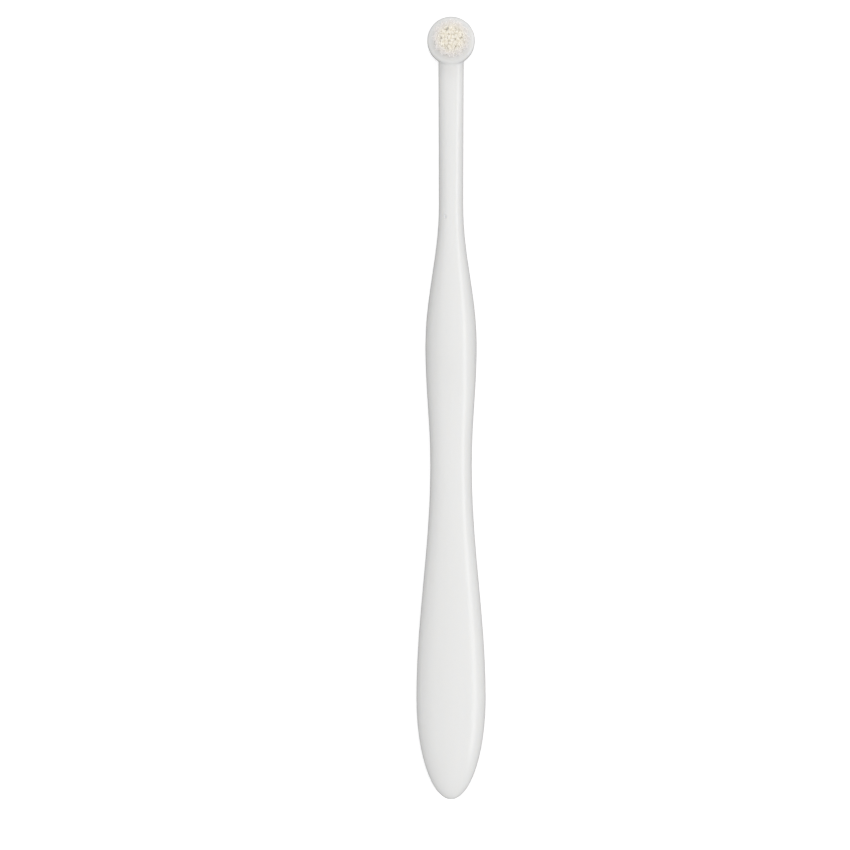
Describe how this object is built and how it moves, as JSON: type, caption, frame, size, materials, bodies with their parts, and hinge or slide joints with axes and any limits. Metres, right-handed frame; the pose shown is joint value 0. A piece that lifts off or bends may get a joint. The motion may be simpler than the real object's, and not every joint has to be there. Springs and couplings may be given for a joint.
{
  "type": "pet toothbrush",
  "caption": "Straight one-piece white plastic toothbrush for small pets, with palm and finger swells, a slim neck and a small round head of soft cream bristle tufts.",
  "frame": {"origin": "on the surface that the brush lies on with its back down, under the middle of its length", "axes": "+Y along the brush towards the head; +Z the way the bristles point; +X to the right, seen from the bristles' side with the head up"},
  "size_m": [0.0154, 0.174, 0.0147],
  "materials": {
    "handle_plastic": "gloss",
    "bristle": "matte",
    "anchor_metal": "satin"
  },
  "bodies": {
    "root": {"handle": "handle_plastic", "tuft_centre": "bristle", "tuft_inner_01": "bristle", "tuft_inner_02": "bristle", "tuft_inner_03": "bristle", "tuft_inner_04": "bristle", "tuft_inner_05": "bristle", "tuft_inner_06": "bristle", "tuft_outer_01": "bristle", "tuft_outer_02": "bristle", "tuft_outer_03": "bristle", "tuft_outer_04": "bristle", "tuft_outer_05": "bristle", "tuft_outer_06": "bristle", "tuft_outer_07": "bristle", "tuft_outer_08": "bristle", "tuft_outer_09": "bristle", "tuft_outer_10": "bristle", "tuft_outer_11": "bristle", "tuft_outer_12": "bristle", "anchor_centre": "anchor_metal", "anchor_inner_01": "anchor_metal", "anchor_inner_02": "anchor_metal", "anchor_inner_03": "anchor_metal", "anchor_inner_04": "anchor_metal", "anchor_inner_05": "anchor_metal", "anchor_inner_06": "anchor_metal", "anchor_outer_01": "anchor_metal", "anchor_outer_02": "anchor_metal", "anchor_outer_03": "anchor_metal", "anchor_outer_04": "anchor_metal", "anchor_outer_05": "anchor_metal", "anchor_outer_06": "anchor_metal", "anchor_outer_07": "anchor_metal", "anchor_outer_08": "anchor_metal", "anchor_outer_09": "anchor_metal", "anchor_outer_10": "anchor_metal", "anchor_outer_11": "anchor_metal", "anchor_outer_12": "anchor_metal"}
  },
  "joints": []
}
